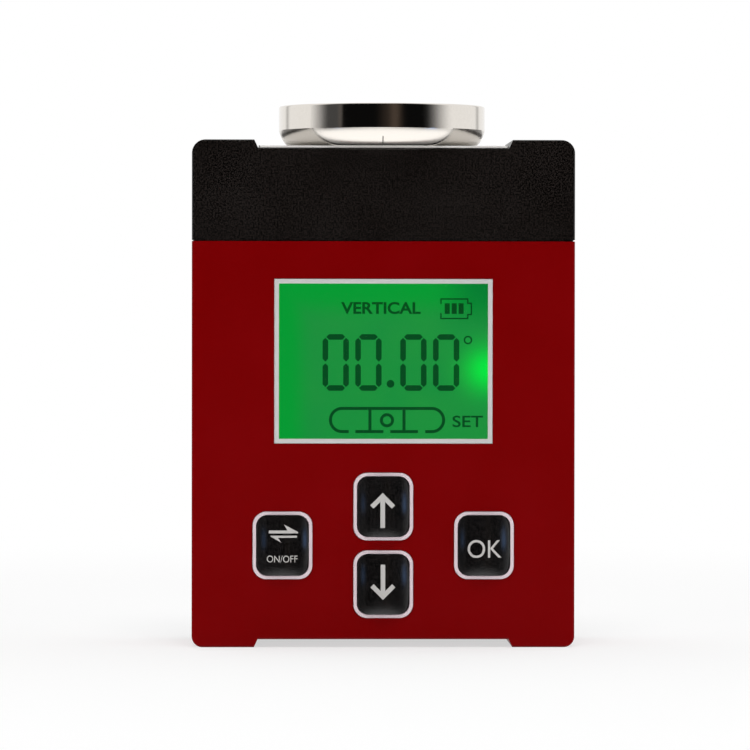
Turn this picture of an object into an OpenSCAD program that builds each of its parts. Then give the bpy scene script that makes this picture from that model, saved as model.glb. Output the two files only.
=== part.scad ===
// Digital camber and caster gauge with a magnetic mount.
// A hand-sized box: red body, black head with a pot magnet on top, a backlit
// display and four keys on the front, and two AAA cells behind a door at the back.
// Millimetres. +Z is up towards the magnet, the display faces -Y, and the
// origin is at the middle of the plane that the lower feet stand on.

/* [Housing] */
// Width of the housing
body_w = 77; // [75:0.5:88]
// Height over the lower and upper feet
body_h = 102; // [101:0.5:115]
// Depth from the front face to the back face
body_d = 32; // [31:0.5:38]
// Thickness of the moulded walls
wall = 2; // [1.6:0.1:2.4]
// Radius of the lower corners of the front outline
corner_r = 2.3; // [1.5:0.1:4]
// Radius of the head's corners of the front outline
head_corner_r = 2.8; // [1.5:0.1:4]
// Radius along the front and back edges
edge_r = 0.5; // [0.4:0.1:1.4]
// Height of the black head above the seam
head_h = 20.4; // [19:0.2:24]
// Thickness of the head's roof under the magnet
roof_t = 3; // [2.5:0.1:4]
// Depth of the rear cover's rim, back from the parting line
cover_d = 6; // [5:0.5:8]
// Width and depth of the shadow line moulded along each seam
shadow = 0.3; // [0.2:0.05:0.5]

/* [Feet] */
// Width of each foot at its tip
foot_w = 12.5; // [9:0.5:16]
// Height of the feet over the recess between them
foot_h = 1.6; // [1:0.1:2.5]
// How much wider a foot is at its root than at its tip
foot_slope = 0.75; // [0.3:0.05:1.5]

/* [Display] */
// Width of the white display bezel
bezel_w = 43.8; // [40:0.1:46]
// Height of the white display bezel
bezel_h = 33; // [30:0.1:34]
// Width of the white border that shows round the display
bezel_rim = 0.9; // [0.8:0.05:1.5]
// Height of the middle of the display above the feet
display_z = 57.5; // [57:0.1:58]
// Thickness of the clear lens
lens_t = 1.2; // [0.8:0.1:1.5]
// How far the lens lies behind the bezel's front
lens_recess = 0.6; // [0.4:0.1:1]
// Thickness of each of the two glasses of the display
glass_t = 1.1; // [0.7:0.1:1.2]
// Thickness of the light guide behind the glass
guide_t = 2.4; // [1.8:0.1:2.6]

/* [Keys] */
// Width of a key
key_w = 10.4; // [9:0.1:11]
// Height of a key
key_h = 12; // [11:0.1:12.4]
// Corner radius of a key
key_corner_r = 2.1; // [1.5:0.1:3]
// Radius of a key's crown across its width
crown_across_r = 9; // [8:0.5:14]
// Radius of a key's crown over its height
crown_over_r = 28; // [16:1:40]
// Width of the white ring round a key
ring_w = 0.65; // [0.5:0.05:1.1]
// How far the white rings stand out of the front
ring_proud = 0.3; // [0.1:0.05:0.5]
// How far the keys stand out of the front
key_proud = 1.9; // [1:0.1:2.4]
// How far a key travels when it is pressed
key_travel = 0.3; // [0.2:0.05:0.5]
// Distance of the outer keys from the middle
key_pitch_x = 20.25; // [19:0.25:21]
// Distance of the upper and lower keys from the row's height
key_pitch_z = 7.8; // [7.5:0.1:8]
// Height of the key row above the feet
key_row_z = 20.5; // [20:0.1:21.5]

/* [Circuit board] */
// Depth of the board's front behind the front face
board_setback = 9.5; // [9:0.1:10.5]
// Thickness of the board
board_t = 1.6; // [1:0.1:2]
// Height of a push switch's body
switch_h = 3.5; // [3:0.1:4]
// Side of a push switch's body
switch_w = 6; // [5:0.1:7]
// Radius of a push switch's plunger
plunger_r = 1.75; // [1.2:0.05:2]
// How far a plunger stands out of its switch
plunger_out = 0.8; // [0.6:0.1:1.2]

/* [Pot magnet] */
// Diameter of the steel cup
cup_d = 42; // [40:0.5:46]
// Height of the steel cup
cup_h = 8.4; // [8:0.1:10]
// Radius round the cup's lower edge
cup_edge_r = 3.5; // [1.5:0.1:3.9]
// Thickness of the cup's wall
cup_wall = 2.5; // [2:0.1:3.5]
// Thickness of the cup's floor
cup_floor = 3.2; // [3:0.1:4]
// Diameter of the hole through the ring magnet
magnet_bore_d = 14; // [12:0.5:18]
// How far the ring magnet lies below the cup's rim
magnet_recess = 0.2; // [0.1:0.05:0.5]
// Diameter of the magnet's screw
mount_screw_d = 5; // [4:0.5:6]
// Width of the white plate that the magnet stands on
seat_w = 40; // [30:1:48]
// Thickness of that plate
seat_t = 0.4; // [0.2:0.1:0.8]

/* [Battery] */
// Diameter of a cell
cell_d = 10.5; // [9.5:0.1:10.6]
// Length of a cell with its nub
cell_l = 44.5; // [42:0.5:46]
// Height of the battery bay's middle above the feet
bay_z = 36; // [35:0.5:40]
// Thickness of the battery door
door_t = 2.2; // [2:0.1:2.6]
// Radius of the battery door's pivot pins
door_pin_r = 0.6; // [0.5:0.05:0.7]
// Length of a contact spring in the bay
spring_l = 5.2; // [4.4:0.1:6]

/* [Fasteners] */
// Diameter of the four case screws
case_screw_d = 3; // [2.5:0.1:3.5]
// Radius of a case screw boss
boss_r = 3.25; // [3:0.05:3.6]
// Diameter of the small screws for the board and the head
small_screw_d = 2.2; // [2:0.1:2.4]

/* [Clearances] */
// Gap round a key in its ring
key_gap = 0.12; // [0.08:0.02:0.2]
// Gap round a part dropped into its seat
seat_gap = 0.1; // [0.05:0.01:0.15]
// Radial gap round a pin or screw in its bore
pin_gap = 0.05; // [0.03:0.01:0.1]
// Gap round the battery door
door_gap = 0.25; // [0.2:0.05:0.4]

/* [Hidden] */
$fn = 64;
over = 1; // how far a cutter runs past the face that it opens
root = 0.5; // how deep a boss or rib is rooted in its wall
weld = 0.05; // how deep a small boss is rooted in sheet metal

// Planes of the housing
front_y = -body_d / 2;
back_y = body_d / 2;
inner_y = front_y + wall;
part_y = back_y - cover_d;
seam_z = body_h - head_h;
recess_top_z = body_h - foot_h;
floor_z = foot_h + wall;
roof_z = recess_top_z - roof_t;
inner_w = body_w - 2 * wall;
inner_r = 1;

// Tongues that line up the mouldings at their seams
tongue_t = 1.2;
tongue_h = 1.8;
tab_low_z = 15;
cross_tab_w = 40;

// Case screw bosses stand in the corners, rooted in the walls
boss_x = inner_w / 2 - boss_r + root;
boss_low_z = floor_z + boss_r - root;
boss_high_z = roof_z - boss_r + root;
case_screw_grip = 12;
case_head_r = case_screw_d * 0.92;
case_head_h = case_screw_d * 0.6;
case_head_sunk = 0.4;
thread_short = 0.5; // how far a screw's end stays short of its bore's end
case_seat_y = back_y - case_head_h - case_head_sunk;
cover_boss_r = case_head_r + 1.2;

// Lugs where two screws hold the head to the body
lug_x = 28;
lug_w = 7;
lug_t = 2;
lug_y = inner_y + lug_w / 2;
lug_top_z = seam_z - tongue_h - 0.2;
head_screw_grip = 8;

// Display stack, front to back
bezel_lip_y = front_y - seat_gap;
flange_t = 1;
flange_w = 1.5;
flange_y = inner_y + flange_t;
lens_y = bezel_lip_y + lens_recess;
lens_lap = 0.4;
lens_w = bezel_w - 2 * bezel_rim + 2 * lens_lap;
lens_h = bezel_h - 2 * bezel_rim + 2 * lens_lap;
glass_w = bezel_w + 2;
glass_h = bezel_h + 1.7;
glass_ledge = 2.5;
strip_w = glass_w - 2;
strip_t = 2;
guide_y = flange_y + 2 * glass_t;
holder_wall = 1.4;
holder_floor_y = guide_y + guide_t;
led_z = display_z - 1.8;
led_size = [1.6, 1.4, 3];

// Keys: name, X, Z
KEYS = [
    ["on_off", -key_pitch_x, key_row_z],
    ["up", 0, key_row_z + key_pitch_z],
    ["down", 0, key_row_z - key_pitch_z],
    ["ok", key_pitch_x, key_row_z]
];
key_flange = 0.8;
key_flange_t = 0.8;
key_flange_y = flange_y + 0.3;
crown_y = front_y - key_proud;
ring_inner_w = key_w + 2 * key_gap;
ring_inner_h = key_h + 2 * key_gap;
ring_outer_w = ring_inner_w + 2 * ring_w;
ring_outer_h = ring_inner_h + 2 * ring_w;
stake_x = key_pitch_x / 2;
stake_r = 0.8;
stake_end = 0.6;
web_h = 8;

// Board
board_y = front_y + board_setback;
plunger_y = board_y - switch_h - plunger_out;
board_back_y = board_y + board_t;
board_gap = 2;
board_w = inner_w - 2 * board_gap;
board_low_z = floor_z + 0.8;
board_high_z = lug_top_z - lug_t - 0.6;
board_notch = 2 * boss_r + board_gap;
post_r = 2.25;
post_x = board_w / 2 - post_r - 0.75;
post_low_z = key_row_z + ring_outer_h / 2 + flange_w + post_r + 0.5;
post_high_z = board_high_z - 7;
board_screw_grip = 6;
small_head_r = small_screw_d * 0.95;
small_head_h = small_screw_d * 0.6;

// Parts on the board's rear face, placed from its upper edge and its sides
chip_side = 7;
chip_legs = 10;
chip_leg_pitch = 0.6;
chip_leg_t = 0.3;
sensor_w = 15.6;
sensor_h = 8.4;
sensor_t = 3.6;
sensor_legs = 6;
sensor_leg_pitch = 2.4;
chip_z = board_high_z - 13;
chip_x = -board_w / 2 + 20.5;
sensor_x = board_w / 2 - 24.5;
small_part_l = 1.6;
small_part_w = 0.8;
small_part_t = 0.6;
small_part_pitch = 3.2;
small_part_x = -board_w / 2 + 6.5;
small_part_z = chip_z - chip_side / 2 - 6.5;

// Magnet and its fixings
cup_z = recess_top_z + seat_t;
ring_magnet_gap = 0.25;
ring_magnet_d = cup_d - 2 * cup_wall - 2 * ring_magnet_gap;
ring_magnet_h = cup_h - cup_floor - magnet_recess;
mount_head_r = mount_screw_d;
anchor_w = 24;
anchor_d = 14;
anchor_t = 2;
nut_h = 0.8 * mount_screw_d;
nut_corner_r = 0.92 * mount_screw_d;
thread_past = 1;

// Battery bay and door
cell_gap = 0.2;
cell_pitch = cell_d + 0.9;
nub_r = 1.9;
nub_h = 0.8;
contact_t = 0.4;
tail_w = cell_d * 0.38;
tail_l = 1.2;
contact_gap = 1;
dimple_h = 0.5;
door_y = back_y - door_t;
cell_y = door_y - 2 * cell_gap - cell_d / 2;
bay_l = cell_l + spring_l + dimple_h + 2 * contact_t;
bay_h = cell_pitch + cell_d + 2 * cell_gap;
bay_wall = 1.4;
bay_floor_y = cell_y - cell_d / 2 - cell_gap;
ledge = 2;
ledge_t = 1.6;
door_w = bay_l + 2 * ledge;
door_h = bay_h + 2 * ledge;
door_low_z = bay_z - door_h / 2;
door_pin_y = back_y - door_t / 2;
door_pin_z = door_low_z + door_t / 2;
door_pin_l = 1.2;
lie_y = door_y + seat_gap;
latch_w = 12;
latch_h = 3;
grip_grooves = 4;
grip_pitch = 1.5;
grip_w = 1.6;
grip_depth = 0.5;
press_rib_t = 1.2;
press_rib_h = 0.3;

// ---- Helpers -------------------------------------------------------------

// Rectangle with true round corners, centred
module rounded_rect(w, h, r) {
    square([w, h - 2 * r], center = true);
    square([w - 2 * r, h], center = true);
    for (x = [-1, 1], y = [-1, 1])
        translate([x * (w / 2 - r), y * (h / 2 - r)]) circle(r);
}

// A profile drawn in X and Z, carried from y0 to y1
module along_y(y0, y1) {
    translate([0, y1, 0]) rotate([90, 0, 0]) linear_extrude(y1 - y0) children();
}

// A profile drawn in Y and Z, carried from x0 to x1
module along_x(x0, x1) {
    translate([x0, 0, 0]) rotate([90, 0, 90]) linear_extrude(x1 - x0) children();
}

// A profile drawn in X and Y, carried from z0 to z1
module along_z(z0, z1) {
    translate([0, 0, z0]) linear_extrude(z1 - z0) children();
}

// A round bar or bore along Y
module rod_y(r, y0, y1) {
    translate([0, y1, 0]) rotate([90, 0, 0]) cylinder(r = r, h = y1 - y0);
}

// A block between two corners
module block(low, high) {
    translate(low) cube(high - low);
}

// Left and right copies
module both_sides() {
    children();
    mirror([1, 0, 0]) children();
}

// The four corners where the case screws go
module at_case_screws() {
    for (x = [-1, 1], z = [boss_low_z, boss_high_z])
        translate([x * boss_x, 0, z]) children();
}

// The four posts that carry the board
module at_posts() {
    for (x = [-1, 1], z = [post_low_z, post_high_z])
        translate([x * post_x, 0, z]) children();
}

module at_keys() {
    for (k = KEYS) translate([k[1], 0, k[2]]) children();
}

// Tube through points: rings of wire radius r square to the path
function unit(v) = v / norm(v);
function path_tangent(p, i) = unit(p[min(i + 1, len(p) - 1)] - p[max(i - 1, 0)]);
function wire_ring(c, t, side, r, n) =
    let (a = unit(cross(t, side)), b = cross(t, a))
    [for (k = [0:n - 1]) c + r * (cos(360 * k / n) * a + sin(360 * k / n) * b)];

module wire(path, r, n, side) {
    m = len(path);
    points = [for (i = [0:m - 1]) each wire_ring(path[i], path_tangent(path, i), side, r, n)];
    sides = [for (i = [0:m - 2], k = [0:n - 1], half = [0, 1])
        let (a = i * n + k, b = i * n + (k + 1) % n)
        half == 0 ? [a, a + n, b] : [b, a + n, b + n]];
    ends = [for (k = [1:n - 2], end = [0, 1])
        end == 0 ? [0, k, k + 1] : [(m - 1) * n, (m - 1) * n + k + 1, (m - 1) * n + k]];
    polyhedron(points = points, faces = concat(sides, ends));
}

// ---- Outer form ----------------------------------------------------------

// Gap between a pair of feet, as it shows from the front, below z = foot_h
module foot_gap() {
    tip = body_w / 2 - foot_w;
    polygon([
        [-tip - foot_slope, -foot_h], [tip + foot_slope, -foot_h],
        [tip - foot_slope, foot_h], [-tip + foot_slope, foot_h]
    ]);
}

// Rounds the long front or back edge of the recess between two feet
module recess_edge() {
    half = body_w / 2 - foot_w - foot_slope;
    along_x(-half, half) difference() {
        translate([front_y - over, foot_h - over]) square(edge_r + over);
        translate([front_y + edge_r, foot_h + edge_r]) circle(edge_r);
        translate([front_y + edge_r, foot_h - over]) square(edge_r + over);
    }
}

// One recess: the foot gap through the whole depth, with rounded edges
module recess() {
    along_y(front_y - over, back_y + over) foot_gap();
    recess_edge();
    mirror([0, 1, 0]) recess_edge();
}

// Front outline: the head's corners are rounder than the body's. A margin draws it in
module front_outline(margin) {
    w = body_w - 2 * margin;
    translate([0, margin]) intersection() {
        translate([0, body_h / 2 - margin]) rounded_rect(w, body_h - 2 * margin, corner_r);
        translate([-body_w, -over]) square([2 * body_w, seam_z + over]);
    }
    translate([0, margin]) intersection() {
        translate([0, body_h / 2 - margin]) rounded_rect(w, body_h - 2 * margin, head_corner_r);
        translate([-body_w, seam_z - over]) square([2 * body_w, body_h]);
    }
}

// The whole housing as one solid form, which each moulding takes its share of
module housing_form() {
    difference() {
        intersection() {
            along_y(front_y, back_y) front_outline(0);
            along_z(-over, body_h + over) rounded_rect(body_w, body_d, edge_r);
            along_x(-body_w, body_w) translate([0, body_h / 2])
                rounded_rect(body_d, body_h, edge_r);
        }
        recess();
        translate([0, 0, body_h]) mirror([0, 0, 1]) recess();
    }
}

// The space inside the housing between two depths and two heights
module inner_space(y0, y1, z0, z1) {
    translate([0, 0, (z0 + z1) / 2]) along_y(y0, y1)
        rounded_rect(inner_w, z1 - z0, inner_r);
}

// ---- Mouldings -----------------------------------------------------------

module case_boss(y0, y1, r, bore_r, bore_y0) {
    difference() {
        rod_y(r, y0, y1);
        rod_y(bore_r, bore_y0, y1 + over);
    }
}

// Red front and sides, open at the back and at the top
module body_shell() {
    color("firebrick") {
        difference() {
            intersection() {
                housing_form();
                block([-body_w, front_y - over, -over], [body_w, part_y, seam_z]);
            }
            inner_space(inner_y, part_y + over, floor_z, seam_z + wall);
            translate([0, 0, display_z]) along_y(front_y - over, inner_y + over)
                square([bezel_w + 2 * seat_gap, bezel_h + 2 * seat_gap], center = true);
            at_keys() along_y(front_y - over, inner_y + over)
                rounded_rect(ring_outer_w + 2 * seat_gap, ring_outer_h + 2 * seat_gap,
                    key_corner_r + ring_w + seat_gap);
        }
        for (x = [-1, 1]) translate([x * boss_x, 0, boss_low_z])
            case_boss(inner_y - root, part_y, boss_r, case_screw_d / 2 + pin_gap,
                part_y - case_screw_grip);
        at_posts() case_boss(inner_y - root, board_y, post_r, small_screw_d / 2 + pin_gap,
            board_y - board_screw_grip);
        for (x = [-1, 1]) translate([x * stake_x, 0, key_row_z])
            rod_y(stake_r, inner_y - root, flange_y + stake_end);
        both_sides() difference() {
            block([lug_x - lug_w / 2, inner_y - root, lug_top_z - lug_t],
                [lug_x + lug_w / 2, inner_y + lug_w, lug_top_z]);
            translate([lug_x, lug_y, lug_top_z - lug_t - over])
                cylinder(r = small_screw_d / 2 + 3 * pin_gap, h = lug_t + 2 * over);
        }
    }
}

// Black head: roof, front and sides, with the seat for the magnet on top
module head_shell() {
    tongue_w = inner_w - 2 * seat_gap;
    tongue_y = inner_y + seat_gap;
    tongue_back_y = part_y - 2 * tongue_h;
    color([0.09, 0.09, 0.09]) {
        difference() {
            intersection() {
                housing_form();
                block([-body_w, front_y - over, seam_z], [body_w, part_y, body_h + over]);
            }
            inner_space(inner_y, part_y + over, seam_z - wall, roof_z);
            translate([0, 0, roof_z - over])
                cylinder(r = mount_screw_d / 2 + 3 * pin_gap, h = roof_t + 2 * over);
            seam_step();
        }
        // tongue that drops inside the body's walls, rooted in the head's own
        difference() {
            union() {
                block([-tongue_w / 2, tongue_y, seam_z - tongue_h],
                    [tongue_w / 2, tongue_back_y, seam_z + root]);
                block([-inner_w / 2 - root, inner_y - root, seam_z + root],
                    [inner_w / 2 + root, tongue_back_y, seam_z + tongue_h]);
            }
            block([-tongue_w / 2 + tongue_t, tongue_y + tongue_t, seam_z - tongue_h - over],
                [tongue_w / 2 - tongue_t, part_y, seam_z + tongue_h + over]);
        }
        for (x = [-1, 1]) translate([x * boss_x, 0, boss_high_z])
            case_boss(inner_y - root, part_y, boss_r, case_screw_d / 2 + pin_gap,
                part_y - case_screw_grip);
        both_sides() difference() {
            block([lug_x - lug_w / 2, tongue_y, lug_top_z],
                [lug_x + lug_w / 2, inner_y + lug_w, lug_top_z + head_screw_grip + wall]);
            translate([lug_x, lug_y, lug_top_z - over])
                cylinder(r = small_screw_d / 2 + pin_gap, h = head_screw_grip + over);
        }
    }
}

// Steps the head's lowest edge inwards, for the shadow line at the seam
module seam_step() {
    along_z(seam_z - over, seam_z + shadow) difference() {
        square([body_w + 2 * over, body_d + 2 * over], center = true);
        rounded_rect(body_w - 2 * shadow, body_d - 2 * shadow, edge_r);
    }
}

// Black back of the case, with the battery bay moulded in
module rear_cover() {
    bay_back = back_y - wall;
    opening_w = door_w + 2 * door_gap;
    opening_h = door_h + 2 * door_gap;
    color([0.11, 0.11, 0.11]) difference() {
        union() {
            difference() {
                intersection() {
                    housing_form();
                    block([-body_w, part_y, -over], [body_w, back_y + over, body_h + over]);
                }
                inner_space(part_y - over, back_y - wall, floor_z, roof_z);
                part_step();
            }
            at_case_screws() rod_y(cover_boss_r, part_y, back_y - wall + root);
            // tabs that line the cover up inside the two shells
            both_sides() {
                side_tab(tab_low_z, lug_top_z - lug_w);
                side_tab(seam_z + 2 * root, boss_high_z - cover_boss_r - 1);
            }
            cross_tab(floor_z + seat_gap, floor_z - root);
            mirror_at(body_h / 2) cross_tab(body_h - roof_z + seat_gap, body_h - roof_z - root);
            // walls of the battery bay
            block([-bay_l / 2 - bay_wall, bay_floor_y - bay_wall, bay_z - bay_h / 2 - bay_wall],
                [bay_l / 2 + bay_wall, bay_back + root, bay_z + bay_h / 2 + bay_wall]);
            // frame that the door lies on and turns in
            block([-opening_w / 2 - 2 * door_pin_l, door_y - ledge_t, bay_z - opening_h / 2 - bay_wall],
                [opening_w / 2 + 2 * door_pin_l, bay_back + root, bay_z + opening_h / 2 + bay_wall]);
        }
        at_case_screws() {
            rod_y(case_screw_d / 2 + 3 * pin_gap, part_y - over, back_y + over);
            rod_y(case_head_r + seat_gap, case_seat_y, back_y + over);
        }
        // bay: square above the cells' middle, two round troughs below it
        block([-bay_l / 2, cell_y, bay_z - bay_h / 2], [bay_l / 2, back_y + over, bay_z + bay_h / 2]);
        for (z = [-1, 1]) translate([-bay_l / 2, cell_y, bay_z + z * cell_pitch / 2])
            rotate([0, 90, 0]) cylinder(r = cell_d / 2 + cell_gap, h = bay_l);
        // seat of the door, its pivot sockets and the room for a finger at its latch
        block([-opening_w / 2, door_y, bay_z - opening_h / 2],
            [opening_w / 2, back_y + over, bay_z + opening_h / 2]);
        translate([-door_w / 2 - door_pin_l - door_gap, door_pin_y, door_pin_z]) rotate([0, 90, 0])
            cylinder(r = door_pin_r + pin_gap, h = door_w + 2 * (door_pin_l + door_gap));
        block([-latch_w / 2 - door_gap, door_y, bay_z],
            [latch_w / 2 + door_gap, back_y + over, bay_z + door_h / 2 + latch_h + door_gap]);
        // slots where the contacts' tails come through the bay's floor
        for (z = [-1, 1]) translate([-bay_l / 2, 0, bay_z + z * cell_pitch / 2])
            block([0, bay_floor_y - bay_wall - over, -tail_w / 2 - seat_gap],
                [contact_t + seat_gap, cell_y, tail_w / 2 + seat_gap]);
    }
}

// Upright tab inside a side wall: free of the shell, rooted in the cover
module side_tab(z0, z1) {
    x = inner_w / 2 - seat_gap;
    block([x - tongue_t, part_y - tongue_h, z0], [x, part_y + tongue_h, z1]);
    block([x - tongue_t, part_y + shadow, z0], [x + root, part_y + tongue_h, z1]);
}

// Level tab over the floor, from its free edge down to its root
module cross_tab(free_z, root_z) {
    block([-cross_tab_w / 2, part_y - tongue_h, free_z],
        [cross_tab_w / 2, part_y + tongue_h, free_z + tongue_t]);
    block([-cross_tab_w / 2, part_y + shadow, root_z],
        [cross_tab_w / 2, part_y + tongue_h, free_z + tongue_t]);
}

// Turned upside down about a height
module mirror_at(z) {
    translate([0, 0, 2 * z]) mirror([0, 0, 1]) children();
}

// Steps the cover's front edge inwards, for the shadow line at the parting line
module part_step() {
    along_y(part_y - over, part_y + shadow) difference() {
        translate([0, body_h / 2]) square([body_w + 2 * over, body_h + 2 * over], center = true);
        difference() {
            front_outline(shadow);
            translate([0, shadow]) foot_gap();
            translate([0, body_h - shadow]) mirror([0, 1]) foot_gap();
        }
    }
}

// Door over the cells: turns on two stub pins at its lower corners
module battery_door() {
    latch_z = bay_z + door_h / 2;
    color([0.11, 0.11, 0.11]) {
        difference() {
            union() {
                along_x(-door_w / 2, door_w / 2) door_section();
                block([-latch_w / 2, lie_y, latch_z - root], [latch_w / 2, back_y, latch_z + latch_h]);
            }
            // thumb grip: grooves across the latch
            for (i = [0:grip_grooves - 1])
                translate([0, back_y, latch_z - latch_h + grip_pitch * (i - 0.5)])
                    block([grip_w - latch_w / 2, -grip_depth, -grip_w / 4],
                        [latch_w / 2 - grip_w, over, grip_w / 4]);
        }
        translate([-door_w / 2 - door_pin_l, door_pin_y, door_pin_z]) rotate([0, 90, 0])
            cylinder(r = door_pin_r, h = door_w + 2 * door_pin_l);
        // ribs that press the cells into their troughs
        for (x = [-1, 1], z = [-1, 1]) translate([x * cell_l / 4, 0, bay_z + z * cell_pitch / 2])
            block([-press_rib_t / 2, door_y - press_rib_h, -cell_d / 4],
                [press_rib_t / 2, lie_y + root, cell_d / 4]);
    }
}

// The door's section, in Y and Z: flat, with a full round lower edge
module door_section() {
    intersection() {
        union() {
            translate([lie_y, door_pin_z]) square([back_y - lie_y, door_h - door_t / 2]);
            translate([door_pin_y, door_pin_z]) circle(door_t / 2);
        }
        translate([lie_y, door_low_z - over]) square([back_y - lie_y, door_h + over]);
    }
}

// ---- Display -------------------------------------------------------------

// White frame that shows round the display and holds the lens
module display_bezel() {
    color("whitesmoke") translate([0, 0, display_z]) difference() {
        union() {
            along_y(bezel_lip_y, inner_y + root) square([bezel_w, bezel_h], center = true);
            along_y(inner_y, flange_y)
                square([bezel_w + 2 * flange_w, bezel_h + 2 * flange_w], center = true);
        }
        along_y(bezel_lip_y - over, flange_y + over)
            square([bezel_w - 2 * bezel_rim, bezel_h - 2 * bezel_rim], center = true);
        along_y(lens_y, flange_y + over)
            square([lens_w + seat_gap, lens_h + seat_gap], center = true);
    }
}

module display_lens() {
    color([0.8, 0.9, 0.85, 0.4]) translate([0, 0, display_z])
        along_y(lens_y, lens_y + lens_t) square([lens_w, lens_h], center = true);
}

// Two sheets of glass; the rear one is longer, with the contacts on its ledge
module lcd_glass() {
    color("mediumseagreen") translate([0, 0, display_z]) {
        along_y(flange_y, flange_y + glass_t) square([glass_w, glass_h], center = true);
        translate([0, 0, -glass_ledge / 2]) along_y(flange_y + glass_t, guide_y)
            square([glass_w, glass_h + glass_ledge], center = true);
    }
}

// Clear green light guide, lit from its right edge
module light_guide() {
    color("limegreen") translate([0, 0, display_z]) difference() {
        along_y(guide_y, holder_floor_y) square([glass_w, glass_h], center = true);
        translate([glass_w / 2, 0, led_z - display_z])
            block([-led_size[0] - seat_gap, guide_y - over, -led_size[2] / 2 - seat_gap],
                [over, holder_floor_y + over, led_size[2] / 2 + seat_gap]);
    }
}

module backlight_led() {
    color("honeydew") translate([glass_w / 2, holder_floor_y, led_z])
        block([-led_size[0], -led_size[1], -led_size[2] / 2], [0, 0, led_size[2] / 2]);
}

// White tray that stands on the board and carries glass and light guide
module lcd_holder() {
    low = -glass_h / 2 - glass_ledge - seat_gap;
    high = glass_h / 2 + seat_gap;
    half = glass_w / 2 + seat_gap;
    color("gainsboro") translate([0, 0, display_z]) difference() {
        block([-half - holder_wall, flange_y, low - holder_wall],
            [half + holder_wall, board_y, high + holder_wall]);
        block([-half, flange_y - over, low], [half, holder_floor_y, high]);
        // slot for the contact strip under the glass's ledge
        block([-strip_w / 2 - seat_gap, holder_floor_y - over, low],
            [strip_w / 2 + seat_gap, board_y + over, low + strip_t + 2 * seat_gap]);
    }
}

// Rubber strip that carries the signals from the board to the glass
module contact_strip() {
    low = display_z - glass_h / 2 - glass_ledge;
    color("dimgray") block([-strip_w / 2, guide_y, low], [strip_w / 2, board_y, low + strip_t]);
}

// ---- Keys ----------------------------------------------------------------

// White moulding behind the front: four rings that stand out round the keys
module key_frame() {
    ring_r = key_corner_r + ring_w;
    color("whitesmoke") difference() {
        union() {
            at_keys() {
                along_y(front_y - ring_proud, inner_y + root)
                    rounded_rect(ring_outer_w, ring_outer_h, ring_r);
                along_y(inner_y, flange_y)
                    rounded_rect(ring_outer_w + 2 * flange_w, ring_outer_h + 2 * flange_w, ring_r + flange_w);
            }
            // web that joins the rings
            block([-key_pitch_x, inner_y, key_row_z - web_h / 2],
                [key_pitch_x, flange_y, key_row_z + web_h / 2]);
        }
        at_keys() along_y(front_y - 2 * over, flange_y + over)
            rounded_rect(ring_inner_w, ring_inner_h, key_corner_r + key_gap);
        for (x = [-1, 1]) translate([x * stake_x, 0, key_row_z])
            rod_y(stake_r + pin_gap, inner_y - over, flange_y + over);
    }
}

// Barrel that a key's crown is cut from: the outer half of a ring that turns about X
module crown_barrel() {
    mid_r = crown_over_r - crown_across_r;
    translate([0, crown_y + crown_over_r, 0]) rotate([0, 90, 0]) rotate_extrude() intersection() {
        translate([mid_r, 0]) circle(crown_across_r);
        translate([mid_r, -crown_across_r]) square([crown_across_r, 2 * crown_across_r]);
    }
}

// One key: barrel-crowned cap, retaining flange and the stem that works its switch
module keycap() {
    color([0.1, 0.1, 0.1]) {
        intersection() {
            along_y(crown_y, key_flange_y + root) rounded_rect(key_w, key_h, key_corner_r);
            crown_barrel();
        }
        along_y(key_flange_y, key_flange_y + key_flange_t)
            rounded_rect(key_w + 2 * key_flange, key_h + 2 * key_flange, key_corner_r + key_flange);
        rod_y(plunger_r, key_flange_y, plunger_y);
    }
}

// Round top of a push switch, which moves with its key
module plunger() {
    color("white") rod_y(plunger_r, plunger_y, plunger_y + plunger_out + key_travel);
}

// Housings of the four push switches
module switch_bodies() {
    color([0.2, 0.2, 0.2]) at_keys() difference() {
        along_y(board_y - switch_h, board_y) square([switch_w, switch_w], center = true);
        rod_y(plunger_r + pin_gap, board_y - switch_h - over, board_y - switch_h + 2 * key_travel + pin_gap);
    }
}

// ---- Electronics ---------------------------------------------------------

module main_board() {
    color("darkgreen") difference() {
        translate([0, 0, (board_low_z + board_high_z) / 2]) along_y(board_y, board_back_y)
            square([board_w, board_high_z - board_low_z], center = true);
        for (x = [-1, 1]) translate([x * board_w / 2, 0, board_low_z])
            along_y(board_y - over, board_back_y + over) square(2 * board_notch, center = true);
        at_posts() rod_y(small_screw_d / 2 + 2 * pin_gap, board_y - over, board_back_y + over);
    }
}

// Flat chip with legs on its four sides
module controller_chip() {
    color([0.13, 0.13, 0.13]) translate([chip_x, 0, chip_z]) {
        along_y(board_back_y + 0.1, board_back_y + chip_side / 5) square(chip_side, center = true);
        for (turn = [0:90:270], i = [0:chip_legs - 1])
            rotate([0, turn, 0]) translate([0, 0, chip_leg_pitch * (i - (chip_legs - 1) / 2)])
                block([chip_side / 2 - chip_leg_t, board_back_y, -chip_leg_pitch / 5],
                    [chip_side / 2 + 3 * chip_leg_t, board_back_y + chip_leg_t, chip_leg_pitch / 5]);
    }
}

// Inclination sensor: body, lid and two rows of legs
module tilt_sensor() {
    rim = 0.7;
    leg_t = 0.5;
    color("slategray") translate([sensor_x, 0, chip_z]) {
        along_y(board_back_y + leg_t / 2, board_back_y + sensor_t)
            square([sensor_w, sensor_h], center = true);
        along_y(board_back_y + sensor_t, board_back_y + sensor_t + rim / 2)
            square([sensor_w - 2 * rim, sensor_h - 2 * rim], center = true);
        both_sides_z() for (i = [0:sensor_legs - 1])
            translate([sensor_leg_pitch * (i - (sensor_legs - 1) / 2), 0, 0])
                block([-leg_t / 2, board_back_y, sensor_h / 2 - leg_t / 2],
                    [leg_t / 2, board_back_y + leg_t, sensor_h / 2 + 2 * leg_t]);
    }
}

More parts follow.
